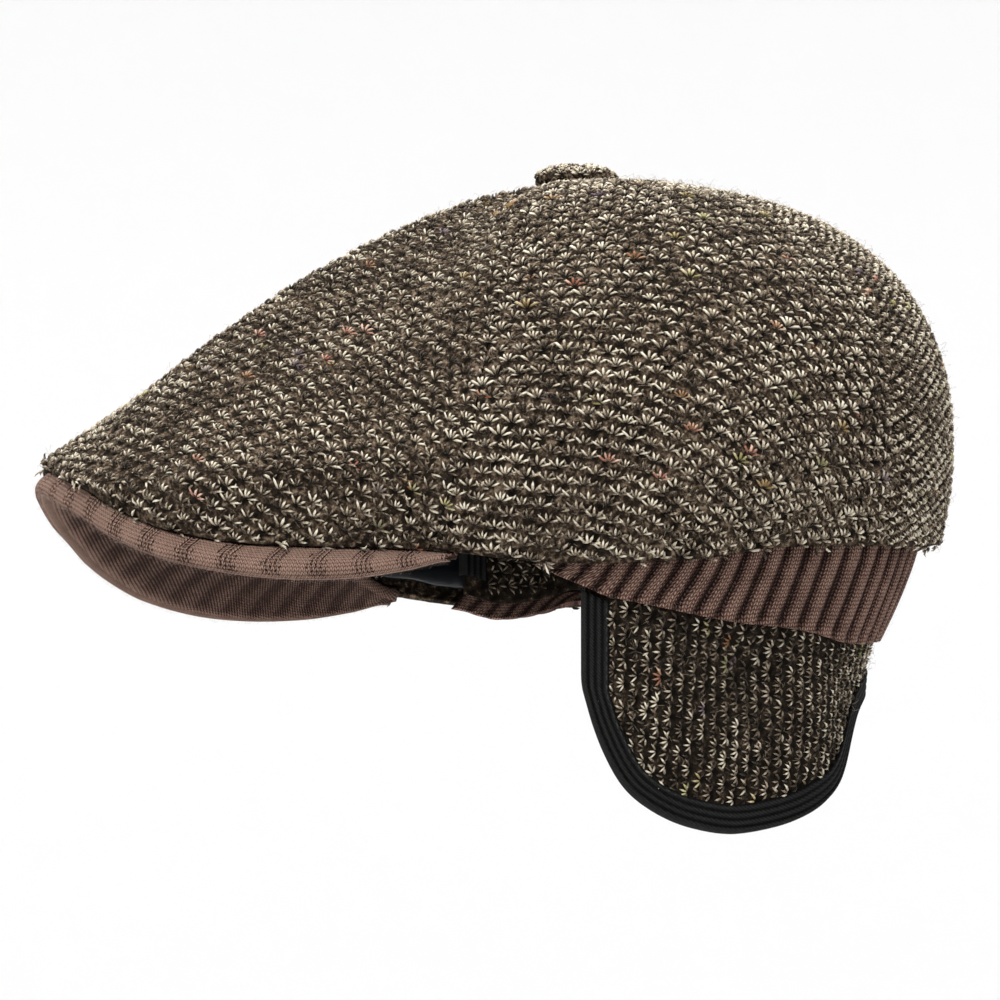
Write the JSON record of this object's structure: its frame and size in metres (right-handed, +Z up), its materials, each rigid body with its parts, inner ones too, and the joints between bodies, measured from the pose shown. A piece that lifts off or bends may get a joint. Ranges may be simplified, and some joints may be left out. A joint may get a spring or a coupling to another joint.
{
  "type": "earflap flat cap",
  "caption": "Knitted flat cap with a rounded crown in panels, a covered button, a ribbed peak and band, and a wrap-around earflap with a bound edge.",
  "frame": {"origin": "centre of the head opening at hat-line height, where a head carries the cap", "axes": "+Z up along the head, -Y towards the peak, +Y towards the back of the head, +X the wearer's left side, where the earflap hangs down"},
  "size_m": [0.19, 0.2836, 0.2089],
  "materials": {
    "knit": "thick star-stitch knit in mixed cream, beige and dark brown yarn",
    "ribbing": "ribbed knit in reddish brown yarn",
    "satin": "black satin lining with a cool sheen",
    "tape": "black woven binding tape"
  },
  "bodies": {
    "root": {"crown_front": "knit", "crown_side_left": "knit", "crown_side_right": "knit", "crown_back": "knit", "button": "knit", "peak": "ribbing", "band": "ribbing", "lining": "satin", "earflap": "knit", "earflap_binding": "tape"}
  },
  "joints": []
}
